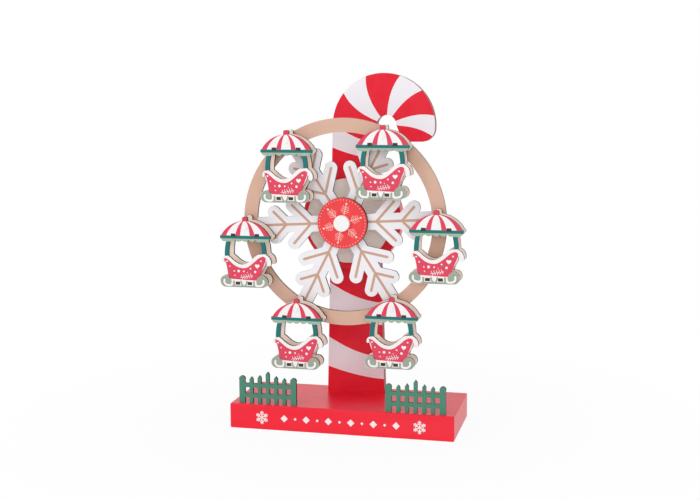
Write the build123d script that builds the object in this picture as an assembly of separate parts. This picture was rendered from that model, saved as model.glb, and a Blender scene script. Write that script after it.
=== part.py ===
from build123d import *
import os

# A hand turned ferris wheel toy for a table top, laser cut from plywood and painted.
# A long base block carries two picket fences and a cane shaped post. The post carries an
# axle with the wheel in front of it and a crank arm behind it. Six sleigh gondolas hang
# from pins in the wheel's rim.
# Frame: X to the right, Y to the back, Z up. The origin is the centre of the base's underside.
# All sizes are in millimetres.

# ---- base block ----
base_width = 220.0
base_depth = 89.0
base_height = 24.5
base_edge_radius = 1.2

# ---- cane shaped post ----
post_thickness = 9.0
post_setback = 11.0
post_foot_width = 58.6
post_neck_width = 45.4
hook_outer_radius = 50.9
hook_hole_radius = 9.7
hook_hole_rise = 0.8
hook_hole_shift = 3.1
hook_tip_drop = 15.4
hook_tip_radius = 13.0
hook_heel_radius = 5.0
hook_mouth_width = 25.0
same_level = 0.01
hook_rise = 90.2
tenon_width = 40.0
tenon_depth = 15.0

# ---- axle line ----
lowest_runner_gap = 27.3
axle_radius = 4.0
running_clearance = 0.08
glue_clearance = 0.03
end_play = 0.5

# ---- fixed discs in front of the post ----
drum_radius = 49.0
drum_thickness = 15.5
drum_spacer_radius = 28.0
drum_spacer_length = 9.5
bearing_disc_radius = 40.6
bearing_disc_thickness = 8.0

# ---- wheel ----
wheel_phase = 3.0
arm_count = 6
wheel_plate_thickness = 3.0
rim_outer_radius = 98.8
rim_inner_radius = 85.4
stem_width = 15.4
branch_width = 12.7
branch_angle = 46.0
inner_node_radius = 32.3
inner_branch_length = 25.0
outer_node_radius = 56.5
outer_branch_length = 16.8
hub_spacer_radius = 12.0
hub_spacer_length = 13.0
hub_cap_radius = 24.1
hub_cap_thickness = 5.0
hub_cap_edge_radius = 0.5
axle_head_radius = 7.7
axle_head_thickness = 3.5
axle_head_edge_radius = 0.6

# ---- crank behind the post ----
crank_arm_width = 17.0
crank_arm_thickness = 6.0
crank_arm_edge_radius = 1.2
crank_throw = 40.0
handle_radius = 7.5
handle_length = 24.0
handle_waist = 1.8
handle_waist_y = 10.0
handle_chamfer = 1.5
handle_crown_height = 5.0
handle_crown_middle = (0.9, 1.6)
handle_tip_inset = 3.0
handle_well_gap = 0.28
handle_screw_sink = 0.3
handle_screw_radius = 2.0
handle_screw_head_radius = 3.6
handle_screw_head_thickness = 2.2
handle_slot_width = 1.2
handle_slot_length = 5.8
handle_slot_depth = 0.45

# ---- gondolas, measured from their hanging pin ----
gondola_ply = 3.0
gondola_inner_width = 12.0
gondola_rim_gap = 1.0
tab_gap = 0.35
pin_radius = 1.5
pin_head_radius = 2.0
pin_head_thickness = 0.7
pin_collar_radius = 2.8
pin_collar_thickness = 0.7
pin_end_play = 0.2
pin_tail = 1.0
dome_half_width = 24.0
dome_top = 6.5
dome_base = -7.7
finial_width = 5.2
finial_top = 10.4
band_half_width = 25.1
band_height = 2.9
scallop_count = 7
scallop_drop = 2.9
scallop_overlap = 0.2
valance_inset = 1.2
pillar_width = 4.0
pillar_top_x = 18.3
pillar_bow = 1.6
pillar_foot_x = 20.6
pillar_foot_z = -28.5
rail_left_end = (-19.4, -27.4)
rail_left_slope = (-12.6, -30.8)
rail_dip = (-3.4, -35.4)
rail_right_slope = (6.4, -30.6)
rail_right_end = (17.2, -24.8)
sleigh_bottom = -50.0
left_foot_x = -17.0
left_waist = (-18.2, -40.5)
left_shoulder = (-20.8, -31.6)
right_foot_x = 13.0
right_waist = (16.6, -41.2)
right_shoulder = (20.6, -32.0)
left_curl_radius = 4.2
left_curl_drop = 0.8
right_curl_radius = 8.6
right_curl_drop = 0.8
curl_width = 4.4
left_curl_width = 2.4
runner_bottom = -57.6
left_scroll_x = -19.8
right_scroll_x = 16.4
scroll_radius = 5.8
runner_bite_radius = 1.3
runner_bite_spacing = 10.1
roof_board_half_width = 17.0
floor_board_half_width = 11.5
tab_width = 3.8
roof_tab_x = 11.9
floor_tab_x = 6.0
floor_tab_shift = -1.8
roof_board_z = -7.3
floor_board_z = -53.6

# ---- fences ----
fence_ply = 3.0
fence_setback = 3.8
fence_center_x = 72.6
fence_width = 57.6
fence_post_width = 5.8
fence_post_height = 26.9
fence_knob_height = 4.9
fence_neck_depth = 0.6
fence_knob_swell = 0.2
picket_width = 3.6
picket_point = 2.4
picket_heights = (26.4, 27.9, 31.9, 27.9, 26.4)
lower_rail_z = 5.8
upper_rail_z = 15.8
rail_height = 4.0
fence_tab_depth = 5.0

# ---- screws that hold the post's tenon from below ----
screw_spacing = 24.0
screw_radius = 1.8
screw_length = 17.0
screw_head_radius = 3.8
screw_head_thickness = 2.6
screw_head_recess = 0.6
screw_slot_width = 0.9
screw_slot_length = 6.0
screw_slot_depth = 0.8

# ---- places worked out from the sizes above ----
pin_circle_radius = (rim_outer_radius + rim_inner_radius) / 2
axis_height = base_height + lowest_runner_gap - runner_bottom + pin_circle_radius
post_back_y = base_depth / 2 - post_setback
post_front_y = post_back_y - post_thickness
drum_front_y = post_front_y - drum_thickness
bearing_disc_back_y = drum_front_y - drum_spacer_length
bearing_disc_front_y = bearing_disc_back_y - bearing_disc_thickness
wheel_plate_back_y = bearing_disc_front_y - end_play - hub_spacer_length
wheel_plate_front_y = wheel_plate_back_y - wheel_plate_thickness
hub_cap_front_y = wheel_plate_front_y - hub_cap_thickness
axle_head_front_y = hub_cap_front_y - axle_head_thickness
crank_arm_front_y = post_back_y + end_play
crank_arm_back_y = crank_arm_front_y + crank_arm_thickness
handle_front_y = crank_arm_back_y + end_play
handle_well = handle_screw_head_thickness + end_play + handle_screw_sink
gondola_back_plate_y = wheel_plate_front_y - gondola_rim_gap - gondola_ply
gondola_front_plate_y = gondola_back_plate_y - gondola_inner_width - gondola_ply
gondola_mid_y = gondola_back_plate_y - gondola_inner_width / 2
fence_front_y = -base_depth / 2 + fence_setback
post_mid_y = post_front_y + post_thickness / 2
hook_center_z = axis_height + hook_rise
hook_center_x = hook_outer_radius - post_neck_width / 2
hook_hole_x = hook_center_x + hook_hole_shift
hook_hole_z = hook_center_z + hook_hole_rise
hook_tip_z = hook_center_z - hook_tip_drop
band_bottom = dome_base - band_height
scallop_pitch = 2 * (band_half_width - valance_inset) / scallop_count

os.makedirs("parts", exist_ok=True)


def plate(face, front_y, thickness):
    """A face drawn with X to the right and Z up, as a plate whose front is at front_y."""
    return extrude(Plane.XZ.offset(-(front_y + thickness)) * face, thickness)


def disc(radius, front_y, thickness, bore=0.0, x=0.0, z=axis_height):
    """A round plate on an axis along Y, with a bore if one is asked for."""
    face = Pos(x, z) * Circle(radius)
    if bore > 0:
        face -= Pos(x, z) * Circle(bore)
    return plate(face, front_y, thickness)


def pin_place(index):
    """X and Z of one hanging pin when the wheel is at rest."""
    center = Vector(0, axis_height)
    arm = Vector(pin_circle_radius, 0).rotate(Axis.Z, wheel_phase + index * 360 / arm_count)
    return center.X + arm.X, center.Y + arm.Y


def screw_places():
    return [(x, post_mid_y) for x in (-screw_spacing / 2, screw_spacing / 2)]


# ---------------- stand ----------------

def fence_tab_places(center_x):
    offset = fence_width / 2 - fence_post_width / 2
    return [center_x - offset, center_x + offset]


def base_block():
    """The painted block, with mortises for the post and the fences and two screw bores."""
    block = Pos(0, 0, base_height / 2) * Box(base_width, base_depth, base_height)
    block = fillet(block.edges(), base_edge_radius)
    mortise_z = base_height - tenon_depth / 2
    block -= Pos(0, post_mid_y, mortise_z) * Box(tenon_width, post_thickness, tenon_depth)
    for center_x in (-fence_center_x, fence_center_x):
        for x in fence_tab_places(center_x):
            slot = Box(fence_post_width, fence_ply, fence_tab_depth)
            slot_y = fence_front_y + fence_ply / 2
            block -= Pos(x, slot_y, base_height - fence_tab_depth / 2) * slot
    for x, y in screw_places():
        floor = base_height - tenon_depth
        block -= Pos(x, y, floor / 2) * Cylinder(screw_radius + running_clearance, floor)
        recess = screw_head_recess + screw_head_thickness
        block -= Pos(x, y, recess / 2) * Cylinder(screw_head_radius + running_clearance, recess)
    return block


def lower_corners(face):
    """The hook tip's two bottom corners, from left to right."""
    low = [v for v in face.vertices() if abs(v.Y - hook_tip_z) < same_level and v.X > hook_hole_x]
    return sorted(low, key=lambda v: v.X)


def hook_face():
    """The round head of the cane: a disc with an off centre hole, open below its tip."""
    head = Pos(hook_center_x, hook_center_z) * Circle(hook_outer_radius)
    head -= Pos(hook_center_x, hook_tip_z) * Rectangle(
        2 * hook_outer_radius, hook_outer_radius, align=(Align.CENTER, Align.MAX)
    )
    mouth = Polyline(
        (hook_hole_x - hook_hole_radius, hook_hole_z),
        (hook_hole_x + hook_hole_radius, hook_hole_z),
        (post_neck_width / 2 + hook_mouth_width, hook_tip_z),
        (0, hook_tip_z),
        close=True,
    )
    head -= make_face(mouth)
    head = fillet(lower_corners(head)[-1], hook_tip_radius)
    head = fillet(lower_corners(head)[0], hook_heel_radius)
    return head - Pos(hook_hole_x, hook_hole_z) * Circle(hook_hole_radius)


def cane_post():
    """The tapered shaft, its hooked head, the tenon below and the axle bore."""
    shaft = make_face(
        Polyline(
            (-post_foot_width / 2, base_height),
            (post_foot_width / 2, base_height),
            (hook_hole_x - hook_hole_radius, hook_hole_z),
            (-post_neck_width / 2, hook_center_z),
            close=True,
        )
    )
    tenon = Pos(0, base_height - tenon_depth / 2) * Rectangle(tenon_width, tenon_depth)
    outline = shaft + hook_face() + tenon
    outline -= Pos(0, axis_height) * Circle(axle_radius + running_clearance)
    post = plate(outline, post_front_y, post_thickness)
    bite = screw_head_recess + screw_length - (base_height - tenon_depth)
    for x, y in screw_places():
        pilot = Cylinder(screw_radius + glue_clearance, bite)
        post -= Pos(x, y, base_height - tenon_depth + bite / 2) * pilot
    return post


def drum():
    """The thick round block glued to the front of the post."""
    return disc(drum_radius, drum_front_y, drum_thickness, axle_radius + running_clearance)


def drum_spacer():
    bore = axle_radius + running_clearance
    return disc(drum_spacer_radius, bearing_disc_back_y, drum_spacer_length, bore)


def bearing_disc():
    bore = axle_radius + running_clearance
    return disc(bearing_disc_radius, bearing_disc_front_y, bearing_disc_thickness, bore)


def post_screws():
    """Two slotted screws from below, their flat heads sunk in the base, into the tenon."""
    screws = []
    for x, y in screw_places():
        shank_z = screw_head_recess + screw_length / 2
        shank = Pos(x, y, shank_z) * Cylinder(screw_radius, screw_length)
        head_z = screw_head_recess + screw_head_thickness / 2
        head = Pos(x, y, head_z) * Cylinder(screw_head_radius, screw_head_thickness)
        slot = Pos(x, y, screw_head_recess + screw_slot_depth / 2) * Box(
            screw_slot_length, screw_slot_width, screw_slot_depth
        )
        screws.append(shank + head - slot)
    return Compound(children=screws)


def fence_post_face(x):
    """An end post with a rounded knob on a thin neck, and the tab that sits in the base."""
    body_top = fence_post_height - fence_knob_height
    face = Pos(x, body_top / 2) * Rectangle(fence_post_width, body_top)
    knob_radius = fence_post_width / 2 + fence_knob_swell
    knob_z = fence_post_height - knob_radius
    face += Pos(x, knob_z) * Circle(knob_radius)
    face += Pos(x, (body_top + knob_z) / 2) * Rectangle(
        fence_post_width - 2 * fence_neck_depth, knob_z - body_top
    )
    face += Pos(x, -fence_tab_depth / 2) * Rectangle(fence_post_width, fence_tab_depth)
    return face


def picket_face(x, height):
    half = picket_width / 2
    picket = Polyline(
        (x - half, 0),
        (x + half, 0),
        (x + half, height - picket_point),
        (x, height),
        (x - half, height - picket_point),
        close=True,
    )
    return make_face(picket)


def fence(center_x):
    """End posts, pointed pickets and two rails, cut from one board."""
    inner_width = fence_width - 2 * fence_post_width
    gap = (inner_width - len(picket_heights) * picket_width) / (len(picket_heights) + 1)
    face = Sketch()
    for x in fence_tab_places(0):
        face += fence_post_face(x)
    for index, height in enumerate(picket_heights):
        x = -inner_width / 2 + gap + picket_width / 2 + index * (gap + picket_width)
        face += picket_face(x, height)
    for rail_z in (lower_rail_z, upper_rail_z):
        face += Pos(0, rail_z + rail_height / 2) * Rectangle(
            fence_width - fence_post_width, rail_height
        )
    return plate(Pos(center_x, base_height) * face, fence_front_y, fence_ply)


# ---------------- wheel ----------------

def branch_face(node_radius, length, side):
    """One round ended branch of the snowflake, leaving the stem at node_radius."""
    bar = Pos(length / 2, 0) * Rectangle(length, branch_width)
    bar += Circle(branch_width / 2)
    bar += Pos(length, 0) * Circle(branch_width / 2)
    return Pos(node_radius, 0) * Rot(0, 0, side * branch_angle) * bar


def arm_face():
    reach = (rim_inner_radius + rim_outer_radius) / 2
    arm = Pos(reach / 2, 0) * Rectangle(reach, stem_width)
    for side in (-1, 1):
        arm += branch_face(inner_node_radius, inner_branch_length, side)
        arm += branch_face(outer_node_radius, outer_branch_length, side)
    return arm


def wheel_plate():
    """Rim and snowflake in one laser cut plate, with the pin holes in the rim."""
    face = Circle(rim_outer_radius) - Circle(rim_inner_radius)
    for index in range(arm_count):
        face += Rot(0, 0, index * 360 / arm_count) * arm_face()
    face -= Circle(axle_radius + glue_clearance)
    for index in range(arm_count):
        turn = Rot(0, 0, index * 360 / arm_count)
        face -= turn * Pos(pin_circle_radius, 0) * Circle(pin_radius + glue_clearance)
    placed = Pos(0, axis_height) * Rot(0, 0, wheel_phase) * face
    return plate(placed, wheel_plate_front_y, wheel_plate_thickness)


def hub_cap():
    cap = disc(hub_cap_radius, hub_cap_front_y, hub_cap_thickness, axle_radius + glue_clearance)
    rim = cap.edges().filter_by(GeomType.CIRCLE).group_by(SortBy.RADIUS)[-1].sort_by(Axis.Y)[0]
    return fillet(rim, hub_cap_edge_radius)


def hub_spacer():
    bore = axle_radius + glue_clearance
    return disc(hub_spacer_radius, wheel_plate_back_y, hub_spacer_length, bore)


def axle():
    """The dowel axle and its flat head in front of the hub cap."""
    length = crank_arm_back_y - hub_cap_front_y
    rod = disc(axle_radius, hub_cap_front_y, length)
    head = disc(axle_head_radius, axle_head_front_y, axle_head_thickness)
    rim = head.edges().filter_by(GeomType.CIRCLE).sort_by(Axis.Y)[0]
    return fillet(rim, axle_head_edge_radius) + rod


def gondola_pins():
    """Six glued pins, each with a head in front of its gondola and a collar behind it."""
    head_back_y = gondola_front_plate_y - pin_end_play
    collar_y = wheel_plate_front_y - pin_collar_thickness
    shank_length = wheel_plate_back_y + pin_tail - head_back_y
    pins = []
    for index in range(arm_count):
        x, z = pin_place(index)
        shank = disc(pin_radius, head_back_y, shank_length, x=x, z=z)
        head = disc(pin_head_radius, head_back_y - pin_head_thickness, pin_head_thickness, x=x, z=z)
        collar = disc(pin_collar_radius, collar_y, pin_collar_thickness, x=x, z=z)
        pins.append(shank + head + collar)
    return Compound(children=pins)


def handle_place():
    """X and Z of the crank handle: straight below the axle when the wheel is at rest."""
    return 0.0, axis_height - crank_throw


def crank_arm():
    """A flat arm with round ends, glued on the axle, with a hole for the handle's screw."""
    x, z = handle_place()
    face = Pos(x, (axis_height + z) / 2) * Rectangle(crank_arm_width, crank_throw)
    face += Pos(0, axis_height) * Circle(crank_arm_width / 2)
    face += Pos(x, z) * Circle(crank_arm_width / 2)
    arm = plate(face, crank_arm_front_y, crank_arm_thickness)
    rim = arm.edges().group_by(Axis.Y)[-1]
    arm = fillet(rim, crank_arm_edge_radius)
    arm -= disc(axle_radius + glue_clearance, crank_arm_front_y, crank_arm_thickness)
    bore = handle_screw_radius + glue_clearance
    return arm - disc(bore, crank_arm_front_y, crank_arm_thickness, x=x, z=z)


def crank_handle():
    """A turned wooden grip that spins freely on its screw, drawn as radius and length."""
    x, z = handle_place()
    bore = handle_screw_radius + running_clearance
    counterbore = handle_screw_head_radius + handle_well_gap
    tip_radius = handle_radius - handle_tip_inset
    crown_start = (handle_radius, handle_length - handle_crown_height)
    crown_middle = (
        handle_radius - handle_crown_middle[0], handle_length - handle_crown_middle[1]
    )
    foot = Polyline((bore, 0), (handle_radius - handle_chamfer, 0), (handle_radius, handle_chamfer))
    flank = ThreePointArc(
        (handle_radius, handle_chamfer),
        (handle_radius - handle_waist, handle_waist_y),
        crown_start,
    )
    crown = ThreePointArc(crown_start, crown_middle, (tip_radius, handle_length))
    inside = Polyline(
        (tip_radius, handle_length),
        (counterbore, handle_length),
        (counterbore, handle_length - handle_well),
        (bore, handle_length - handle_well),
        (bore, 0),
    )
    profile = make_face(foot + flank + crown + inside)
    turned = revolve(Plane.XZ * profile, Axis.Z)
    return Pos(x, handle_front_y, z) * Rot(-90, 0, 0) * turned


def handle_screw():
    """The shouldered screw that the grip turns on, glued in the crank arm."""
    x, z = handle_place()
    head_front_y = handle_front_y + handle_length - handle_well + handle_screw_sink
    head_back_y = head_front_y + handle_screw_head_thickness
    shank_length = head_front_y - crank_arm_front_y
    shank = disc(handle_screw_radius, crank_arm_front_y, shank_length, x=x, z=z)
    head = disc(handle_screw_head_radius, head_front_y, handle_screw_head_thickness, x=x, z=z)
    slot = Pos(x, head_back_y - handle_slot_depth / 2, z) * Box(
        handle_slot_length, handle_slot_depth, handle_slot_width
    )
    return shank + head - slot


# ---------------- gondolas ----------------

def canopy_face():
    """Dome, finial, band and scalloped valance of the gondola's roof."""
    dome = make_face(
        ThreePointArc((-dome_half_width, dome_base), (0, dome_top), (dome_half_width, dome_base))
        + Line((dome_half_width, dome_base), (-dome_half_width, dome_base))
    )
    finial_height = 2 * (finial_top - dome_top)
    finial = Pos(0, dome_top) * RectangleRounded(finial_width, finial_height, finial_width / 3)
    band = Pos(0, dome_base - band_height / 2) * Rectangle(2 * band_half_width, band_height)
    face = dome + finial + band
    for index in range(scallop_count):
        x = (index - (scallop_count - 1) / 2) * scallop_pitch
        scallop = Pos(x, band_bottom) * Ellipse((scallop_pitch + scallop_overlap) / 2, scallop_drop)
        face += scallop
    return face


def pillar_face(side):
    """One bowed pillar between the valance and the sleigh's rail."""
    mid_x = (pillar_top_x + pillar_foot_x) / 2 + pillar_bow / 2
    mid_z = (band_bottom + pillar_foot_z) / 2

    def edge(inset):
        return ThreePointArc(
            (side * (pillar_top_x - inset), band_bottom),
            (side * (mid_x - inset), mid_z),
            (side * (pillar_foot_x - inset), pillar_foot_z),
        )

    outer = edge(0)
    inner = edge(pillar_width)
    return make_face(outer + Line(outer @ 1, inner @ 1) + inner + Line(inner @ 0, outer @ 0))


def curl_face(end, radius, width, side, drop):
    """The curl that carries the rail over one end of the sleigh, with a round tip."""
    center_x, center_z = end[0], end[1] - radius
    quarter = Rectangle(radius, radius, align=(Align.MIN if side > 0 else Align.MAX, Align.MIN))
    strip = (Circle(radius) - Circle(radius - width)) & quarter
    mid_x = side * (radius - width / 2)
    strip += Pos(mid_x, -drop / 2) * Rectangle(width, drop)
    strip += Pos(mid_x, -drop) * Circle(width / 2)
    return Pos(center_x, center_z) * strip


def sleigh_face():
    """Body of the sleigh under its swooping rail, between its two curls."""
    rail = Spline(
        [rail_left_end, rail_left_slope, rail_dip, rail_right_slope, rail_right_end],
        tangents=[(1.0, 0.0), (1.0, 0.0)],
    )
    right_flank = Spline([rail_right_end, right_shoulder, right_waist, (right_foot_x, sleigh_bottom)])
    bottom = Line((right_foot_x, sleigh_bottom), (left_foot_x, sleigh_bottom))
    left_flank = Spline([(left_foot_x, sleigh_bottom), left_waist, left_shoulder, rail_left_end])
    face = make_face(rail + right_flank + bottom + left_flank)
    face += curl_face(rail_left_end, left_curl_radius, left_curl_width, -1, left_curl_drop)
    return face + curl_face(rail_right_end, right_curl_radius, curl_width, 1, right_curl_drop)


def runner_face():
    """The runner: a straight bar between two round scrolls, with shallow bites below."""
    bar_length = right_scroll_x - left_scroll_x
    bar_mid_x = (right_scroll_x + left_scroll_x) / 2
    bar_height = sleigh_bottom - runner_bottom
    bar = Pos(bar_mid_x, runner_bottom + bar_height / 2) * Rectangle(bar_length, bar_height)
    for x in (left_scroll_x, right_scroll_x):
        bar += Pos(x, runner_bottom + scroll_radius) * Circle(scroll_radius)
    for step in (-1, 0, 1):
        bite_x = bar_mid_x + step * runner_bite_spacing
        bar -= Pos(bite_x, runner_bottom) * Circle(runner_bite_radius)
    return bar


def gondola_plate_face():
    face = canopy_face() + sleigh_face() + runner_face()
    for side in (-1, 1):
        face += pillar_face(side)
    face -= Circle(pin_radius + running_clearance)
    slot = Rectangle(tab_width + 2 * tab_gap, gondola_ply)
    for side in (-1, 1):
        face -= Pos(side * roof_tab_x, roof_board_z) * slot
        face -= Pos(floor_tab_shift + side * floor_tab_x, floor_board_z) * slot
    return face


def gondola_board(x, z, half_width, tab_x):
    """A board centred on x and z between the two plates, with two tabs through each of them."""
    board = Box(2 * half_width, gondola_inner_width, gondola_ply)
    tab_span = gondola_inner_width + 2 * gondola_ply
    for side in (-1, 1):
        board += Pos(side * tab_x, 0, 0) * Box(tab_width, tab_span, gondola_ply)
    return Pos(x, gondola_mid_y, z) * board


def gondola(index):
    """The four boards of one gondola, hanging upright below its pin."""
    x, z = pin_place(index)
    placed = Pos(x, z) * gondola_plate_face()
    return {
        "front": plate(placed, gondola_front_plate_y, gondola_ply),
        "back": plate(placed, gondola_back_plate_y, gondola_ply),
        "roof": gondola_board(x, z + roof_board_z, roof_board_half_width, roof_tab_x),
        "floor": gondola_board(
            x + floor_tab_shift, z + floor_board_z, floor_board_half_width, floor_tab_x
        ),
    }


def main():
    parts = {
        "base_block": base_block(),
        "cane_post": cane_post(),
        "post_screws": post_screws(),
        "left_fence": fence(-fence_center_x),
        "right_fence": fence(fence_center_x),
        "drum": drum(),
        "drum_spacer": drum_spacer(),
        "bearing_disc": bearing_disc(),
        "wheel_plate": wheel_plate(),
        "hub_spacer": hub_spacer(),
        "hub_cap": hub_cap(),
        "axle": axle(),
        "gondola_pins": gondola_pins(),
        "crank_arm": crank_arm(),
        "crank_handle": crank_handle(),
        "handle_screw": handle_screw(),
    }
    for index in range(arm_count):
        for name, board in gondola(index).items():
            parts[f"gondola_{index + 1}_{name}"] = board
    for name, shape in parts.items():
        export_step(shape, f"parts/{name}.step")


main()
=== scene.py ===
import math

import bpy
from mathutils import Matrix, Vector


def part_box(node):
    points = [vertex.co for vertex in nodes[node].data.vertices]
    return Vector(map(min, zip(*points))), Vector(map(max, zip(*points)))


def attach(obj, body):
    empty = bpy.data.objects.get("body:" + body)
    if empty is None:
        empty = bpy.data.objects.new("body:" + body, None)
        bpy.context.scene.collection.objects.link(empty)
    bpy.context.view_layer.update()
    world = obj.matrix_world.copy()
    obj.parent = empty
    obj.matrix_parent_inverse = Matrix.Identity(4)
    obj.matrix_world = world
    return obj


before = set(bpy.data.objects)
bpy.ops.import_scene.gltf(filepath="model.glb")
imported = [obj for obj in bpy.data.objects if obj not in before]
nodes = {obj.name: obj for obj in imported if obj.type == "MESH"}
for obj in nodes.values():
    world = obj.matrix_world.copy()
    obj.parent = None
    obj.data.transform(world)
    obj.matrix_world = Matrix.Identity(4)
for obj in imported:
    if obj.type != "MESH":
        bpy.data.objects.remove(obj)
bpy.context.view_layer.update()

# ---------------------------------------------------------------------------
# Sizes. Lengths are in millimetres, and MM turns them to metres.
# ---------------------------------------------------------------------------
MM = 0.001

# Camera, fitted to the base's corners, the wheel's rim and the gondolas in the photo.
CAMERA_PLACE = (257.95, -1058.51, 316.96)
CAMERA_TARGET = (0.24, 0.0, 172.12)
CAMERA_ROLL_DEG = -0.25
CAMERA_LENS = 58.13
CAMERA_NEAREST = 10.0
SENSOR_WIDTH = 36.0

# Studio: two lamps, even light all round, and paper whose white is full away from the toy.
LAMP_TARGET = (0.0, 0.0, 180.0)
KEY_PLACE = (-900.0, -1200.0, 1100.0)
KEY_WIDTH = 700.0
KEY_POWER = 6.5
FILL_PLACE = (450.0, -1600.0, 550.0)
FILL_WIDTH = 800.0
FILL_POWER = 5.5
WORLD_STRENGTH = 0.6
PAPER_WIDTH = 12000.0
PAPER_FADE_START = 120.0
PAPER_FADE_END = 420.0
PAPER_GLOW_NEAR_TOY = 0.93

# Layers of ink. Neighbouring strokes of one ink lie a step apart, so that they share no plane
# where they cross.
PRINT_THICKNESS = 0.08
PRINT_SINK = 0.02
PRINT_STEP = 0.008
PRINT_STEPS = 12
ROUND_END_POINTS = 5
CURVE_STEPS = 4

# Snowflake lines on the wheel, as distances along one arm.
ARM_COUNT = 6
WHEEL_PHASE_DEG = 3.0
LINE_WIDTH = 2.4
LINE_ONTO_RIM = 0.3
RIM_INNER_RADIUS = 85.4
STEM_LINE_START = 20.0
LINE_BRANCHES = ((32.0, 25.5), (56.5, 17.5))
BRANCH_ANGLE_DEG = 46.0

# Printed disc on the hub.
DOT_RING_RADIUS = 22.2
DOT_RING_COUNT = 46
DOT_RADIUS = 0.42
DOT_POINTS = 8
SPRIG_PHASE_DEG = 17.0
SPRIG_START = 8.4
SPRIG_END = 18.9
SPRIG_STEM_WIDTH = 0.6
SPRIG_TIP_RADIUS = 1.0
NEEDLE_PAIRS = 4
NEEDLE_START = 9.0
NEEDLE_SPACING = 1.9
NEEDLE_WIDTH = 0.42
NEEDLE_ANGLE_DEG = 54.0
NEEDLE_REACH = 4.9
NEEDLE_REACH_LOSS = 0.5

# Row on the base's front. A barb's place and length are shares of its arm.
FLAKE_X = 77.4
FLAKE_DROP = 0.2
FLAKE_RADIUS = 6.2
FLAKE_ARMS = 6
FLAKE_PHASE_DEG = 30.0
FLAKE_LINE_SHARE = 0.15
FLAKE_BARBS = ((0.42, 0.3), (0.7, 0.26))
FLAKE_BARB_ANGLE_DEG = 52.0
LOZENGE_COUNT = 11
LOZENGE_PITCH = 11.0
LOZENGE_REACHES = (3.6, 1.5)

# Stripes on the post. The left ends of a white band's two edges lie at these heights, and
# each edge runs down to the right by its drop, steepest on the left.
BAND_TOP = 80.3
BAND_TOP_PITCH = 55.5
BAND_TOP_DROP = 18.9
BAND_TOP_BEND = 1.85
BAND_FOOT = 50.1
BAND_FOOT_PITCH = 55.1
BAND_FOOT_DROP = 10.9
BAND_FOOT_BEND = 1.7
POST_FOOT_HALF = 29.3
POST_NECK_HALF = 22.7
POST_NECK_Z = 291.7
HEAD_START_Z = 294.3
HOOK_TIP_REACH = 28.0

# Swirl on the hook. Its edges leave the eye at these angles, and have turned clockwise by
# SWIRL_DEG where they are SWIRL_REACH away from it.
HOOK_EYE = (31.3, 292.5)
SWIRL_DEG = 13.5
SWIRL_REACH = 50.0
SWIRL_EDGES_DEG = (-2.8, 22.0, 55.5, 86.0, 127.5, 159.0)
SWIRL_RANGE_DEG = (-180.0, 220.0)

# Gondola's face, from the hanging pin.
DOME_RADIUS = 27.4
DOME_CENTER_Z = -20.9
DOME_LEAST_HALF = 3.0
FINIAL_TOP = 10.4
FINIAL_HEIGHT = 4.3
CANOPY_EDGE_Z = -7.7
BAND_EDGE_Z = -10.6
VALANCE_EDGE_Z = -13.6
RAIL_EDGE_Z = -26.2
RAIL_EDGE_SLOPE = 0.065
CANOPY_STRIPES = (0.2, 0.405, 0.785)

# Gondola's print: white motifs on the sleigh's panel, each dot as X, Z and radius.
HEART_PLACE = (11.9, -36.6)
HEART_WIDTH = 4.8
HEART_POINTS = 20
SLEIGH_DOTS = (
    (-18.4, -32.6, 0.8), (-15.6, -37.4, 0.7), (-11.2, -41.9, 0.7), (-6.8, -41.8, 1.3),
    (-1.6, -42.0, 0.8), (5.2, -39.2, 0.8), (9.8, -42.2, 1.2), (15.7, -31.6, 0.8),
    (-10.6, -46.0, 0.6), (1.9, -42.9, 0.4),
)
TWIG = ((-5.2, -48.2), (7.2, -45.8))
TWIG_WIDTH = 0.4
TWIG_FIRST = (-3.4, -47.9)
TWIG_PITCH = (2.3, 0.44)
TWIG_PAIRS = 5
TWIG_NEEDLES = (((0.0, 0.0), (-0.9, 2.2)), ((1.1, 0.0), (0.1, -1.8)))
TWIG_NEEDLE_WIDTH = 0.5

# Gondola's print: the runner, with a disc and a white curl at each end.
SCROLLS = ((-19.8, -1), (16.4, 1))
SCROLL_Z = -51.8
SCROLL_RADIUS = 5.6
SCROLL_POINTS = 28
CURL = ((1.5, 1.2), (1.7, -0.9), (0.5, -2.9), (-1.9, -3.9), (-5.4, -3.9))
CURL_WIDTH = 1.9
RUNNER_BAR = ((-18.6, -56.6), (14.8, -56.6))
RUNNER_LEFT_POST = ((-11.8, -51.9), (-11.8, -56.4))
RUNNER_RIGHT_POST = ((8.4, -51.9), (8.4, -56.4))
RUNNER_LINE_WIDTH = 1.7
RUNNER_LEFT_BRACE = ((-4.6, -51.8), (-3.9, -54.4), (-2.2, -56.5))
RUNNER_RIGHT_BRACE = ((1.3, -51.8), (0.6, -54.4), (-1.0, -56.5))
RUNNER_BRACE_WIDTH = 1.5


def cad_box_mm(name):
    """A node's lowest and highest corners in millimetres."""
    low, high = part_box(name)
    return Vector(low) / MM, Vector(high) / MM


wheel_low, _ = cad_box_mm("wheel_plate")
base_low, base_high = cad_box_mm("base_block")
hub_low, hub_high = cad_box_mm("hub_cap")
AXLE = ((hub_low.x + hub_high.x) / 2, (hub_low.z + hub_high.z) / 2)


def pin_of(number):
    """X and Z of the pin that a gondola hangs from."""
    roof_low, roof_high = cad_box_mm(f"gondola_{number}_roof")
    _, front_high = cad_box_mm(f"gondola_{number}_front")
    return (roof_low.x + roof_high.x) / 2, front_high.z - FINIAL_TOP


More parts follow.
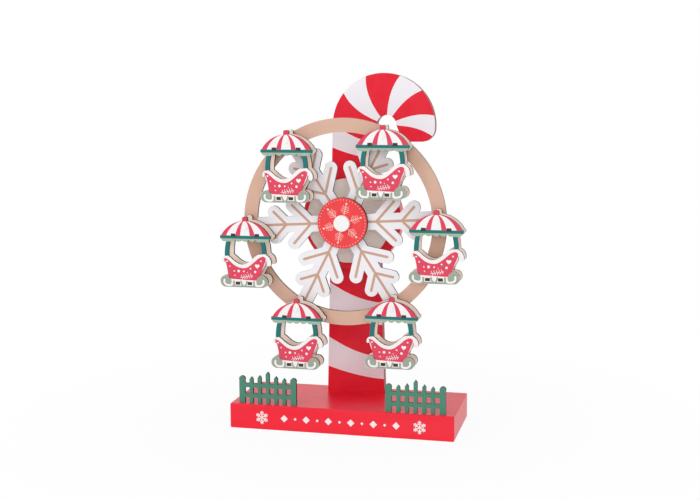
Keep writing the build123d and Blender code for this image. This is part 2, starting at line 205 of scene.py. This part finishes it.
# ---------------------------------------------------------------------------
# Materials. Blotches and grains are in millimetres, and a stretch lengthens them along an axis.
# ---------------------------------------------------------------------------
BLACK = (0.0, 0.0, 0.0, 1.0)
WHITE = (1.0, 1.0, 1.0, 1.0)
CANOPY_WHITE = "#f6f4f4"
CANOPY_ROSE = "#e0405c"
FINIAL_ROSE = "#d8405a"
TEAL = "#147373"
VALANCE_SAGE = "#a6b8a4"
RAIL_WHITE = "#f7f2f1"
PLY_LAYER = 1.0
BURN_PATCHES_PER_MM = 0.35


def srgb(hex_text):
    """An sRGB hex colour as linear RGBA."""
    values = [int(hex_text[i:i + 2], 16) / 255 for i in (1, 3, 5)]
    linear = [v / 12.92 if v <= 0.04045 else ((v + 0.055) / 1.055) ** 2.4 for v in values]
    return (*linear, 1.0)


def add(tree, kind, inputs=(), **settings):
    """Adds a node with its settings and inputs, and gives its first live output."""
    node = tree.nodes.new("ShaderNode" + kind)
    for key, value in settings.items():
        setattr(node, key, value)
    pairs = inputs.items() if isinstance(inputs, dict) else enumerate(inputs)
    for key, value in pairs:
        socket = node.inputs[key]
        if isinstance(value, bpy.types.NodeSocket):
            tree.links.new(value, socket)
        else:
            socket.default_value = value
    return next((output for output in node.outputs if output.enabled), None)


def start(name, roughness, shine=0.5, metallic=0.0):
    """A new material: its tree, its shader, and its object coordinates in millimetres."""
    material = bpy.data.materials.new(name)
    material.use_nodes = True
    tree = material.node_tree
    shader = tree.nodes["Principled BSDF"]
    shader.inputs["Roughness"].default_value = roughness
    shader.inputs["Specular IOR Level"].default_value = shine
    shader.inputs["Metallic"].default_value = metallic
    coords = add(tree, "TexCoord").node
    place = add(
        tree, "VectorMath", {0: coords.outputs["Object"], 3: 1 / MM}, operation="SCALE"
    )
    return material, tree, shader, place


def mottled(tree, place, color, blotch, amount, stretch=(1, 1, 1)):
    """The colour, made lighter and darker in blotches of about that size."""
    spread = add(
        tree, "VectorMath", (place, tuple(blotch * s for s in stretch)), operation="DIVIDE"
    )
    noise = add(tree, "TexNoise", {"Vector": spread, "Scale": 1.0, "Detail": 3.0})
    dark = add(tree, "Mix", {0: amount, 6: color, 7: BLACK}, data_type="RGBA")
    light = add(tree, "Mix", {0: amount, 6: color, 7: WHITE}, data_type="RGBA")
    return add(tree, "Mix", {0: noise, 6: dark, 7: light}, data_type="RGBA")


def grained(tree, shader, place, grain, depth, stretch, rough_low, rough_high):
    """A fine bump and an uneven gloss, both from one noise of that grain."""
    spread = add(
        tree, "VectorMath", (place, tuple(grain * s for s in stretch)), operation="DIVIDE"
    )
    noise = add(tree, "TexNoise", {"Vector": spread, "Scale": 1.0, "Detail": 4.0})
    bump = add(tree, "Bump", {"Height": noise, "Distance": depth * MM, "Strength": 0.6})
    tree.links.new(bump, shader.inputs["Normal"])
    gloss = add(tree, "MapRange", {"Value": noise, "To Min": rough_low, "To Max": rough_high})
    tree.links.new(gloss, shader.inputs["Roughness"])


def facing_share(tree, axis):
    """How much a surface faces along the axis, from -1 to 1."""
    coords = add(tree, "TexCoord").node
    return add(tree, "SeparateXYZ", (coords.outputs["Normal"],)).node.outputs[axis]


def on_edge(tree, axis=1):
    """1 on a board's edges, and 0 on its two faces across the axis."""
    facing = add(tree, "Math", (facing_share(tree, axis),), operation="ABSOLUTE")
    return add(tree, "Math", (facing, 0.5), operation="LESS_THAN")


def laser_edge(tree, place, face_color, axis=1):
    """The face's colour on faces across the axis, and burnt three ply on the cut edges."""
    across = add(tree, "SeparateXYZ", (place,)).node.outputs[axis]
    layer = add(tree, "Math", (across, 2 * math.pi / PLY_LAYER), operation="MULTIPLY")
    wave = add(tree, "Math", (layer,), operation="SINE")
    ply = add(tree, "MapRange", {"Value": wave, "From Min": -1.0})
    patches = add(
        tree, "TexNoise", {"Vector": place, "Scale": BURN_PATCHES_PER_MM, "Detail": 2.0}
    )
    light = add(tree, "Math", (ply, patches), operation="MULTIPLY")
    burnt = add(
        tree, "Mix", {0: light, 6: srgb("#160d08"), 7: srgb("#62462f")}, data_type="RGBA"
    )
    edge = on_edge(tree, axis)
    return add(tree, "Mix", {0: edge, 6: face_color, 7: burnt}, data_type="RGBA")


def away_from(tree, place, center):
    """A point's X, Z and distance from a centre, which is given as X and Z."""
    away = add(tree, "VectorMath", (place, (center[0], 0.0, center[1])), operation="SUBTRACT")
    flat = add(tree, "VectorMath", (away, (1, 0, 1)), operation="MULTIPLY")
    split = add(tree, "SeparateXYZ", (flat,)).node
    radius = add(tree, "VectorMath", (flat,), operation="LENGTH").node.outputs["Value"]
    return split.outputs[0], split.outputs[2], radius


def brushed_paint(name, hex_text, stretch, shine):
    """Gloss paint on wood: an even colour with faint long brush marks."""
    material, tree, shader, place = start(name, roughness=0.3, shine=shine)
    color = mottled(tree, place, srgb(hex_text), blotch=16.0, amount=0.03, stretch=stretch)
    tree.links.new(color, shader.inputs["Base Color"])
    grained(
        tree, shader, place, grain=1.2, depth=0.04, stretch=stretch,
        rough_low=0.22, rough_high=0.4,
    )
    return material


def band_edge(tree, share, z, height, pitch, drop, bend):
    """How many of one kind of edge lie below this point, less one, and its level on the left."""
    left = add(tree, "Math", (1.0, share), operation="SUBTRACT")
    curve = add(tree, "Math", (left, bend), operation="POWER")
    fall = add(tree, "Math", (curve, -drop, drop), operation="MULTIPLY_ADD")
    level = add(tree, "Math", (z, fall), operation="ADD")
    steps = add(tree, "Math", (level, 1 / pitch, -height / pitch), operation="MULTIPLY_ADD")
    return add(tree, "Math", (steps,), operation="FLOOR"), level


def shaft_bands(tree, x, z):
    """1 on the tapered shaft's white bands, and each point's level on the shaft's left edge."""
    slope = (POST_NECK_HALF - POST_FOOT_HALF) / (POST_NECK_Z - base_high.z)
    half = add(
        tree, "Math", (z, slope, POST_FOOT_HALF - slope * base_high.z), operation="MULTIPLY_ADD"
    )
    across = add(tree, "Math", (x, half), operation="ADD")
    width = add(tree, "Math", (half, 2.0), operation="MULTIPLY")
    share = add(tree, "Math", (across, width), operation="DIVIDE", use_clamp=True)
    tops, level = band_edge(
        tree, share, z, BAND_TOP, BAND_TOP_PITCH, BAND_TOP_DROP, BAND_TOP_BEND
    )
    feet, _ = band_edge(
        tree, share, z, BAND_FOOT, BAND_FOOT_PITCH, BAND_FOOT_DROP, BAND_FOOT_BEND
    )
    tops = add(tree, "Math", (tops, -1.0), operation="MAXIMUM")
    band = add(tree, "Math", (feet, tops), operation="SUBTRACT", use_clamp=True)
    return band, level


def hook_swirl(tree, place):
    """1 on the white stripes that swirl out from the hook's eye."""
    eye_x, eye_z, radius = away_from(tree, place, HOOK_EYE)
    angle = add(tree, "Math", (eye_z, eye_x), operation="ARCTAN2")
    far = add(tree, "Math", (radius, 1 / SWIRL_REACH), operation="MULTIPLY")
    twist = add(tree, "Math", (far, 2.0), operation="POWER")
    turned_angle = add(
        tree, "Math", (twist, math.radians(SWIRL_DEG), angle), operation="MULTIPLY_ADD"
    )
    first, last = SWIRL_RANGE_DEG
    turn = add(
        tree, "MapRange",
        {"Value": turned_angle, "From Min": math.radians(first), "From Max": math.radians(last)},
    )
    swirl = add(tree, "ValToRGB", (turn,)).node
    swirl.color_ramp.interpolation = "CONSTANT"
    stops = swirl.color_ramp.elements
    places = [(edge - first) / (last - first) for edge in SWIRL_EDGES_DEG]
    stops[0].color = BLACK
    stops[1].position = places[0]
    stops[1].color = WHITE
    for index, stop_place in enumerate(places[1:]):
        stops.new(stop_place).color = BLACK if index % 2 == 0 else WHITE
    return swirl.outputs[0]


def cane_paint():
    """Satin enamel: edges in a darker red that is partly painted shade, and faces with bands on
    the shaft and a swirl on the hook.
    """
    material, tree, shader, place = start("striped satin enamel", roughness=0.36, shine=0.2)
    split = add(tree, "SeparateXYZ", (place,)).node
    x, z = split.outputs[0], split.outputs[2]
    band, level = shaft_bands(tree, x, z)
    above = add(tree, "Math", (level, HEAD_START_Z), operation="GREATER_THAN")
    right = add(tree, "Math", (x, POST_NECK_HALF), operation="GREATER_THAN")
    high = add(tree, "Math", (z, POST_NECK_Z - HOOK_TIP_REACH), operation="GREATER_THAN")
    tip = add(tree, "Math", (right, high), operation="MULTIPLY")
    head = add(tree, "Math", (above, tip), operation="MAXIMUM")
    white = add(
        tree, "Mix", {0: head, 2: band, 3: hook_swirl(tree, place)}, data_type="FLOAT"
    )
    paint = add(tree, "Mix", {0: white, 6: srgb("#ee062d"), 7: srgb("#f9f7fd")}, data_type="RGBA")
    # Edges take a darker red. Part of it is the cut edge's own tone, and part is painted shade for
    # the board's shaded sides.
    paint = add(tree, "Mix", {0: on_edge(tree), 6: paint, 7: srgb("#8e0016")}, data_type="RGBA")
    color = mottled(tree, place, paint, blotch=14.0, amount=0.03)
    tree.links.new(color, shader.inputs["Base Color"])
    grained(
        tree, shader, place, grain=1.0, depth=0.04, stretch=(1, 1, 8),
        rough_low=0.3, rough_high=0.44,
    )
    return material


def sanded_beech():
    """Sanded wood with no varnish: fine darker fibres along the grain and soft cloudy rings."""
    stretch = (4, 1, 1)
    material, tree, shader, place = start("sanded beech", roughness=0.6)
    clouds = mottled(tree, place, srgb("#f4e9de"), blotch=8.0, amount=0.09, stretch=stretch)
    spread = add(
        tree, "VectorMath", (place, tuple(0.5 * s * s for s in stretch)), operation="DIVIDE"
    )
    fibre = add(tree, "TexNoise", {"Vector": spread, "Scale": 1.0, "Detail": 5.0})
    thin = add(
        tree, "MapRange", {"Value": fibre, "From Min": 0.45, "From Max": 0.7, "To Max": 0.13}
    )
    color = add(tree, "Mix", {0: thin, 6: clouds, 7: srgb("#8a6748")}, data_type="RGBA")
    tree.links.new(color, shader.inputs["Base Color"])
    grained(
        tree, shader, place, grain=0.6, depth=0.06, stretch=stretch,
        rough_low=0.52, rough_high=0.7,
    )
    return material


def painted_ply(name, hex_text):
    """Matt spray paint on three ply, laser cut afterwards, so the edges are bare and burnt."""
    material, tree, shader, place = start(name, roughness=0.5, shine=0.3)
    paint = mottled(tree, place, srgb(hex_text), blotch=7.0, amount=0.04, stretch=(1, 1, 3))
    tree.links.new(laser_edge(tree, place, paint), shader.inputs["Base Color"])
    grained(
        tree, shader, place, grain=0.8, depth=0.03, stretch=(1, 1, 6),
        rough_low=0.43, rough_high=0.58,
    )
    return material


def painted_rim_ply():
    """Matt white and tan paint on three ply, parted by the rim's inner circle."""
    name = "white and tan painted plywood"
    material, tree, shader, place = start(name, roughness=0.5, shine=0.3)
    _, _, radius = away_from(tree, place, AXLE)
    rim = add(tree, "Math", (radius, RIM_INNER_RADIUS), operation="GREATER_THAN")
    paint = add(tree, "Mix", {0: rim, 6: srgb("#f6f4f9"), 7: srgb("#deb59f")}, data_type="RGBA")
    color = mottled(tree, place, paint, blotch=10.0, amount=0.035)
    tree.links.new(laser_edge(tree, place, color), shader.inputs["Base Color"])
    grained(
        tree, shader, place, grain=0.8, depth=0.03, stretch=(1, 1, 6),
        rough_low=0.44, rough_high=0.58,
    )
    return material


def canopy_wedges(tree, x, z):
    """Rose and white wedges, whose edges keep their share of the dome's half width."""
    rise = add(tree, "Math", (z, DOME_CENTER_Z), operation="SUBTRACT")
    square = add(tree, "Math", (rise, 2.0), operation="POWER")
    rest = add(tree, "Math", (DOME_RADIUS ** 2, square), operation="SUBTRACT")
    safe = add(tree, "Math", (rest, DOME_LEAST_HALF ** 2), operation="MAXIMUM")
    half = add(tree, "Math", (safe,), operation="SQRT")
    reach = add(tree, "Math", (x,), operation="ABSOLUTE")
    share = add(tree, "Math", (reach, half), operation="DIVIDE")
    wedges = add(tree, "ValToRGB", (share,)).node
    wedges.color_ramp.interpolation = "CONSTANT"
    stops = wedges.color_ramp.elements
    stops[0].color = srgb(CANOPY_WHITE)
    stops[1].position = CANOPY_STRIPES[0]
    stops[1].color = srgb(CANOPY_ROSE)
    for edge, hex_text in zip(CANOPY_STRIPES[1:], (CANOPY_WHITE, CANOPY_ROSE)):
        stops.new(edge).color = srgb(hex_text)
    finial = add(tree, "Math", (z, FINIAL_TOP - FINIAL_HEIGHT), operation="GREATER_THAN")
    return add(
        tree, "Mix", {0: finial, 6: wedges.outputs[0], 7: srgb(FINIAL_ROSE)}, data_type="RGBA"
    )


def gondola_face(tree, place, pin):
    """Canopy, teal band, sage valance, teal pillars and white rail, by height from the pin."""
    local = add(tree, "VectorMath", (place, (pin[0], 0.0, pin[1])), operation="SUBTRACT")
    split = add(tree, "SeparateXYZ", (local,)).node
    x, z = split.outputs[0], split.outputs[2]
    level = add(tree, "Math", (x, -RAIL_EDGE_SLOPE, z), operation="MULTIPLY_ADD")
    pillar = add(tree, "Math", (level, RAIL_EDGE_Z), operation="GREATER_THAN")
    color = add(tree, "Mix", {0: pillar, 6: srgb(RAIL_WHITE), 7: srgb(TEAL)}, data_type="RGBA")
    for edge, upper in (
        (VALANCE_EDGE_Z, srgb(VALANCE_SAGE)),
        (BAND_EDGE_Z, srgb(TEAL)),
        (CANOPY_EDGE_Z, canopy_wedges(tree, x, z)),
    ):
        above = add(tree, "Math", (z, edge), operation="GREATER_THAN")
        color = add(tree, "Mix", {0: above, 6: color, 7: upper}, data_type="RGBA")
    return color


def gondola_ply(number, side):
    """Three ply, bare but for one printed face, then laser cut. side is -1 for a front print."""
    plate = "front" if side < 0 else "back"
    name = f"printed plywood gondola {number} {plate}"
    material, tree, shader, place = start(name, roughness=0.5, shine=0.3)
    toward = add(tree, "Math", (facing_share(tree, 1), side), operation="MULTIPLY")
    is_printed = add(tree, "Math", (toward, 0.5), operation="GREATER_THAN")
    bare = mottled(tree, place, srgb("#f5e3d6"), blotch=6.0, amount=0.06, stretch=(5, 1, 1))
    face = gondola_face(tree, place, pin_of(number))
    color = add(tree, "Mix", {0: is_printed, 6: bare, 7: face}, data_type="RGBA")
    tree.links.new(laser_edge(tree, place, color), shader.inputs["Base Color"])
    grained(
        tree, shader, place, grain=0.7, depth=0.03, stretch=(6, 1, 1),
        rough_low=0.42, rough_high=0.58,
    )
    return material


def board_ply():
    """Bare three ply for the boards between the plates: long pale fibres, burnt cut edges."""
    material, tree, shader, place = start("bare plywood", roughness=0.6)
    face = mottled(tree, place, srgb("#d9bf9c"), blotch=6.0, amount=0.09, stretch=(6, 1, 1))
    tree.links.new(laser_edge(tree, place, face, axis=2), shader.inputs["Base Color"])
    grained(
        tree, shader, place, grain=0.6, depth=0.06, stretch=(6, 1, 1),
        rough_low=0.52, rough_high=0.7,
    )
    return material


def print_ink(name, hex_text):
    """Flat bed printed ink: an even matt colour with the faint texture of the paint below."""
    material, tree, shader, place = start(name, roughness=0.5, shine=0.3)
    color = mottled(tree, place, srgb(hex_text), blotch=3.0, amount=0.035)
    tree.links.new(color, shader.inputs["Base Color"])
    grained(
        tree, shader, place, grain=0.5, depth=0.01, stretch=(1, 1, 4),
        rough_low=0.44, rough_high=0.56,
    )
    return material


def zinc_steel():
    """Zinc plated steel: a cool bright metal with a fine turned grain."""
    material, tree, shader, place = start("zinc plated steel", roughness=0.3, metallic=1.0)
    color = mottled(tree, place, srgb("#b9bdc2"), blotch=2.0, amount=0.08)
    tree.links.new(color, shader.inputs["Base Color"])
    grained(
        tree, shader, place, grain=0.3, depth=0.02, stretch=(1, 6, 1),
        rough_low=0.24, rough_high=0.4,
    )
    return material


RED = brushed_paint("gloss red lacquer on wood", "#f8062e", stretch=(8, 1, 1), shine=0.3)
WHITE_DOWEL = brushed_paint("white painted dowel", "#f9f8f6", stretch=(1, 4, 1), shine=0.4)
CANE = cane_paint()
GREEN = painted_ply("green painted plywood", "#42866e")
HUB_RED = painted_ply("red printed plywood disc", "#f2373c")
RIM = painted_rim_ply()
BEECH = sanded_beech()
BARE_PLY = board_ply()
STEEL = zinc_steel()
TAN_INK = print_ink("tan ink", "#cfa48c")
ROSE_INK = print_ink("rose red ink", "#e23b59")
WHITE_INK = print_ink("white ink", "#fbf6f6")
BLUSH_INK = print_ink("blush ink", "#ffd3c8")
SAGE_INK = print_ink("sage green ink", "#9ea898")


def dress(name, material):
    """Gives a node its one material."""
    mesh = nodes[name].data
    mesh.materials.clear()
    mesh.materials.append(material)


for node in ("base_block", "drum", "crank_arm"):
    dress(node, RED)
for node in ("bearing_disc", "drum_spacer", "hub_spacer", "crank_handle"):
    dress(node, BEECH)
for node in ("left_fence", "right_fence"):
    dress(node, GREEN)
for node in ("post_screws", "handle_screw"):
    dress(node, STEEL)
for node in ("axle", "gondola_pins"):
    dress(node, WHITE_DOWEL)
dress("cane_post", CANE)
dress("wheel_plate", RIM)
dress("hub_cap", HUB_RED)
for number in range(1, ARM_COUNT + 1):
    dress(f"gondola_{number}_front", gondola_ply(number, -1))
    dress(f"gondola_{number}_back", gondola_ply(number, 1))
    dress(f"gondola_{number}_roof", BARE_PLY)
    dress(f"gondola_{number}_floor", BARE_PLY)


# ---------------------------------------------------------------------------
# Prints: thin layers of ink with their own outlines
# ---------------------------------------------------------------------------

def turned(points, degrees, about=(0.0, 0.0)):
    """The points turned anticlockwise round the origin, then moved to about."""
    c, s = math.cos(math.radians(degrees)), math.sin(math.radians(degrees))
    return [(about[0] + x * c - z * s, about[1] + x * s + z * c) for x, z in points]


def round_dot(x, z, radius, count=12):
    """The outline of a dot."""
    steps = [2 * math.pi * i / count for i in range(count)]
    return [(x + radius * math.cos(a), z + radius * math.sin(a)) for a in steps]


def stroke(path, width):
    """The outline of a pen stroke along a path, with round ends."""
    points = [Vector(p) for p in path]
    left, right = [], []
    for i, point in enumerate(points):
        before = points[max(i - 1, 0)]
        after = points[min(i + 1, len(points) - 1)]
        along = (after - before).normalized()
        side = Vector((-along.y, along.x)) * width / 2
        left.append(tuple(point + side))
        right.append(tuple(point - side))

    def cap(tip, inner):
        """The round end at the tip, from one side to the other."""
        out = (tip - inner).normalized() * width / 2
        side = Vector((-out.y, out.x))
        angles = [math.pi * (i + 1) / (ROUND_END_POINTS + 1) for i in range(ROUND_END_POINTS)]
        return [tuple(tip + side * math.cos(a) + out * math.sin(a)) for a in angles]

    return left + cap(points[-1], points[-2]) + right[::-1] + cap(points[0], points[1])


def smooth(points):
    """A curve that passes through every point."""
    last = len(points) - 1
    curve = []
    for i in range(last):
        a, b, c, d = (Vector(points[min(max(i + k, 0), last)]) for k in (-1, 0, 1, 2))
        for step in range(CURVE_STEPS):
            t = step / CURVE_STEPS
            bend = (
                2 * b + (c - a) * t + (2 * a - 5 * b + 4 * c - d) * t * t
                + (3 * b - a - 3 * c + d) * t ** 3
            )
            curve.append(tuple(bend / 2))
    curve.append(tuple(points[-1]))
    return curve


def pairs_of_barbs(places, angle_deg):
    """Straight lines to both sides of an arm, from each place along it and its length there."""
    return [
        turned([(0, 0), (length, 0)], angle, (place, 0))
        for place, length in places for angle in (-angle_deg, angle_deg)
    ]


def ink_shape(outline, face_y, side):
    """One closed outline in X and Z as a thin layer on the face at face_y."""
    bpy.ops.object.select_all(action="DESELECT")
    bpy.ops.mesh.primitive_circle_add(vertices=len(outline), fill_type="NGON")
    shape = bpy.context.object
    for vertex, (x, z) in zip(shape.data.vertices, outline):
        vertex.co = Vector((x, face_y - side * PRINT_SINK, z)) * MM
    bpy.ops.object.mode_set(mode="EDIT")
    bpy.ops.mesh.select_all(action="SELECT")
    bpy.ops.mesh.extrude_region_move(
        TRANSFORM_OT_translate={"value": (0, side * PRINT_THICKNESS * MM, 0)}
    )
    bpy.ops.mesh.select_all(action="SELECT")
    bpy.ops.mesh.normals_make_consistent(inside=False)
    bpy.ops.object.mode_set(mode="OBJECT")
    return shape


def printed(name, outlines, face_y, side, ink, body):
    """All of one ink on one face, joined as one piece."""
    shapes = []
    for index, outline in enumerate(outlines):
        level = index % PRINT_STEPS * PRINT_STEP
        shapes.append(ink_shape(outline, face_y + side * level, side))
    bpy.ops.object.select_all(action="DESELECT")
    for shape in shapes:
        shape.select_set(True)
    bpy.context.view_layer.objects.active = shapes[0]
    if len(shapes) > 1:
        bpy.ops.object.join()
    layer = bpy.context.object
    layer.name = name
    layer.data.name = name
    layer.data.materials.append(ink)
    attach(layer, body)
    return layer


def moved_copy(original, name, offset, body):
    """A copy with its own mesh, moved in X and Z."""
    mesh = original.data.copy()
    mesh.transform(Matrix.Translation(Vector((offset[0], 0, offset[1])) * MM))
    copy = bpy.data.objects.new(name, mesh)
    bpy.context.collection.objects.link(copy)
    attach(copy, body)


def snowflake_lines():
    """The tan lines along the middle of each arm of the wheel's snowflake."""
    stem = [(STEM_LINE_START, 0.0), (RIM_INNER_RADIUS + LINE_ONTO_RIM, 0.0)]
    lines = [stem, *pairs_of_barbs(LINE_BRANCHES, BRANCH_ANGLE_DEG)]
    arm = [stroke(line, LINE_WIDTH) for line in lines]
    outlines = []
    for index in range(ARM_COUNT):
        turn = WHEEL_PHASE_DEG + index * 360 / ARM_COUNT
        outlines += [turned(outline, turn, AXLE) for outline in arm]
    printed("snowflake_line_print", outlines, wheel_low.y, -1, TAN_INK, "wheel")


def hub_dots():
    """A ring of dots near the hub's edge."""
    dot = round_dot(DOT_RING_RADIUS, 0, DOT_RADIUS, DOT_POINTS)
    outlines = [turned(dot, 360 * i / DOT_RING_COUNT, AXLE) for i in range(DOT_RING_COUNT)]
    printed("hub_dot_print", outlines, hub_low.y, -1, BLUSH_INK, "wheel")


def hub_sprigs():
    """Six fir sprigs round the knob. The needles are coarse enough to show apart."""
    needles = [
        (NEEDLE_START + pair * NEEDLE_SPACING, NEEDLE_REACH - NEEDLE_REACH_LOSS * pair)
        for pair in range(NEEDLE_PAIRS)
    ]
    sprig = [stroke([(SPRIG_START, 0), (SPRIG_END, 0)], SPRIG_STEM_WIDTH)]
    sprig += [stroke(line, NEEDLE_WIDTH) for line in pairs_of_barbs(needles, NEEDLE_ANGLE_DEG)]
    sprig.append(round_dot(SPRIG_END, 0, SPRIG_TIP_RADIUS))
    outlines = []
    for index in range(ARM_COUNT):
        turn = SPRIG_PHASE_DEG + index * 360 / ARM_COUNT
        outlines += [turned(outline, turn, AXLE) for outline in sprig]
    printed("hub_sprig_print", outlines, hub_low.y, -1, BLUSH_INK, "wheel")


def small_snowflake(center):
    """Six arms with two pairs of barbs each."""
    barbs = [(place * FLAKE_RADIUS, share * FLAKE_RADIUS) for place, share in FLAKE_BARBS]
    lines = [[(0, 0), (FLAKE_RADIUS, 0)], *pairs_of_barbs(barbs, FLAKE_BARB_ANGLE_DEG)]
    arm = [stroke(line, FLAKE_RADIUS * FLAKE_LINE_SHARE) for line in lines]
    outlines = []
    for index in range(FLAKE_ARMS):
        turn = FLAKE_PHASE_DEG + index * 360 / FLAKE_ARMS
        outlines += [turned(outline, turn, center) for outline in arm]
    return outlines


def base_prints():
    """A snowflake near each end of the base's front, and a row of small lozenges between."""
    z = (base_low.z + base_high.z) / 2
    outlines = []
    for x in (-FLAKE_X, FLAKE_X):
        outlines += small_snowflake((x, z - FLAKE_DROP))
    for index in range(LOZENGE_COUNT):
        x = (index - (LOZENGE_COUNT - 1) / 2) * LOZENGE_PITCH
        reach = LOZENGE_REACHES[index % 2]
        outlines.append([(x + reach, z), (x, z + reach), (x - reach, z), (x, z - reach)])
    printed("base_front_print", outlines, base_low.y, -1, WHITE_INK, "stand")


def heart(x, z, width):
    """A heart's outline from its usual formula, which is 32 wide."""
    outline = []
    for step in range(HEART_POINTS):
        t = 2 * math.pi * step / HEART_POINTS
        across = 16 * math.sin(t) ** 3
        up = 13 * math.cos(t) - 5 * math.cos(2 * t) - 2 * math.cos(3 * t) - math.cos(4 * t)
        outline.append((x + across * width / 32, z + up * width / 32))
    return outline


def sleigh_panel():
    """The rose red panel on the sleigh's body, below the white rail."""
    top = smooth([
        (-21.8, -29.6), (-18.6, -30.2), (-15.4, -32.6), (-9.9, -36.9), (-3.6, -38.9), (2.2, -37.9),
        (8.3, -33.4), (13.3, -29.2), (17.6, -27.4), (20.4, -28.6),
    ])
    right = smooth([(20.4, -31.0), (18.9, -35.0), (16.0, -42.3), (14.2, -47.6)])
    foot = [(13.0, -49.6), (11.2, -50.6), (-13.9, -49.6), (-16.0, -48.8)]
    left = smooth([(-17.3, -47.0), (-18.1, -41.0), (-19.3, -35.0), (-20.9, -31.2)])
    return [top + right + foot + left]


def runner_scrolls():
    """The sage green disc at each end of the runner, its foot bar, posts and braces."""
    discs = [round_dot(x, SCROLL_Z, SCROLL_RADIUS, SCROLL_POINTS) for x, _ in SCROLLS]
    return [
        *discs,
        stroke(RUNNER_BAR, RUNNER_LINE_WIDTH),
        stroke(RUNNER_LEFT_POST, RUNNER_LINE_WIDTH),
        stroke(smooth(RUNNER_LEFT_BRACE), RUNNER_BRACE_WIDTH),
        stroke(smooth(RUNNER_RIGHT_BRACE), RUNNER_BRACE_WIDTH),
        stroke(RUNNER_RIGHT_POST, RUNNER_LINE_WIDTH),
    ]


def white_motifs():
    """A heart, dots and a twig on the sleigh's panel, and a curl on each end of the runner."""
    outlines = [heart(*HEART_PLACE, HEART_WIDTH)]
    outlines += [round_dot(x, z, radius) for x, z, radius in SLEIGH_DOTS]
    outlines.append(stroke(TWIG, TWIG_WIDTH))
    for pair in range(TWIG_PAIRS):
        x = TWIG_FIRST[0] + TWIG_PITCH[0] * pair
        z = TWIG_FIRST[1] + TWIG_PITCH[1] * pair
        for needle in TWIG_NEEDLES:
            line = [(x + across, z + up) for across, up in needle]
            outlines.append(stroke(line, TWIG_NEEDLE_WIDTH))
    for x, outward in SCROLLS:
        path = [(x + outward * across, SCROLL_Z + up) for across, up in CURL]
        outlines.append(stroke(smooth(path), CURL_WIDTH))
    return outlines


def gondola_prints(side):
    """The printed layers of one gondola plate, modelled at gondola 1 and copied to the rest."""
    plate = "front" if side < 0 else "back"
    low, high = cad_box_mm(f"gondola_1_{plate}")
    face_y = low.y if side < 0 else high.y
    pin_x, pin_z = pin_of(1)
    for layer_name, outlines, ink, lift in (
        ("sleigh_panel", sleigh_panel(), ROSE_INK, 0.0),
        ("sage_scroll", runner_scrolls(), SAGE_INK, 0.0),
        ("white_motif", white_motifs(), WHITE_INK, PRINT_THICKNESS),
    ):
        at_pin = [[(x + pin_x, z + pin_z) for x, z in outline] for outline in outlines]
        first = printed(
            f"gondola_1_{plate}_{layer_name}", at_pin, face_y + side * lift, side, ink, "gondola_1"
        )
        for number in range(2, ARM_COUNT + 1):
            x, z = pin_of(number)
            name = f"gondola_{number}_{plate}_{layer_name}"
            moved_copy(first, name, (x - pin_x, z - pin_z), f"gondola_{number}")


snowflake_lines()
hub_dots()
hub_sprigs()
base_prints()
gondola_prints(-1)
gondola_prints(1)


# ---------------------------------------------------------------------------
# Stage: floor, light and camera
# ---------------------------------------------------------------------------

def seen_rays(tree):
    """1 for what the camera or a reflection sees, and 0 for light that falls on the toy."""
    rays = add(tree, "LightPath").node
    return add(
        tree, "Math", (rays.outputs["Is Camera Ray"], rays.outputs["Is Glossy Ray"]),
        operation="MAXIMUM",
    )


def floor():
    """White paper that takes the toy's soft shadow near it and fades to plain white."""
    bpy.ops.object.select_all(action="DESELECT")
    bpy.ops.mesh.primitive_plane_add(size=PAPER_WIDTH * MM)
    paper = bpy.context.object
    paper.name = "studio_paper"
    material, tree, shader, place = start("white studio paper", roughness=0.9, shine=0.0)
    shader.inputs["Base Color"].default_value = srgb("#fafafa")
    away = add(tree, "VectorMath", (place,), operation="LENGTH").node.outputs["Value"]
    fade = add(
        tree, "MapRange",
        {
            "Value": away, "From Min": PAPER_FADE_START, "From Max": PAPER_FADE_END,
            "To Min": PAPER_GLOW_NEAR_TOY,
        },
    )
    amount = add(tree, "Math", (fade, seen_rays(tree)), operation="MULTIPLY")
    glow = add(tree, "Emission", {"Color": WHITE, "Strength": 1.0})
    both = add(tree, "MixShader", (amount, shader.outputs[0], glow))
    tree.links.new(both, tree.nodes["Material Output"].inputs["Surface"])
    paper.data.materials.append(material)


def white_world():
    """Even white light, and plain white behind everything."""
    world = bpy.data.worlds.new("white studio")
    bpy.context.scene.world = world
    world.use_nodes = True
    tree = world.node_tree
    level = add(tree, "MapRange", {"Value": seen_rays(tree), "To Min": WORLD_STRENGTH})
    background = tree.nodes["Background"]
    background.inputs["Color"].default_value = WHITE
    tree.links.new(level, background.inputs["Strength"])


def softbox(name, place, width, power):
    """A square soft lamp that looks at the toy's middle."""
    lamp = bpy.data.lights.new(name, "AREA")
    lamp.size = width * MM
    lamp.energy = power
    holder = bpy.data.objects.new(name, lamp)
    bpy.context.collection.objects.link(holder)
    holder.location = Vector(place) * MM
    aim = Vector(LAMP_TARGET) - Vector(place)
    holder.rotation_euler = aim.to_track_quat("-Z", "Y").to_euler()


def photo_camera():
    """The camera, where the photo was taken from."""
    lens = bpy.data.cameras.new("photo view")
    lens.lens = CAMERA_LENS
    lens.sensor_width = SENSOR_WIDTH
    lens.clip_start = CAMERA_NEAREST * MM
    holder = bpy.data.objects.new("photo view", lens)
    bpy.context.collection.objects.link(holder)
    place = Vector(CAMERA_PLACE) * MM
    aim = (Vector(CAMERA_TARGET) * MM - place).to_track_quat("-Z", "Y").to_matrix().to_4x4()
    roll = Matrix.Rotation(math.radians(CAMERA_ROLL_DEG), 4, "Z")
    holder.matrix_world = Matrix.Translation(place) @ aim @ roll
    bpy.context.scene.camera = holder


floor()
white_world()
softbox("key softbox", KEY_PLACE, KEY_WIDTH, KEY_POWER)
softbox("fill softbox", FILL_PLACE, FILL_WIDTH, FILL_POWER)
photo_camera()
bpy.context.scene.view_settings.view_transform = "Standard"
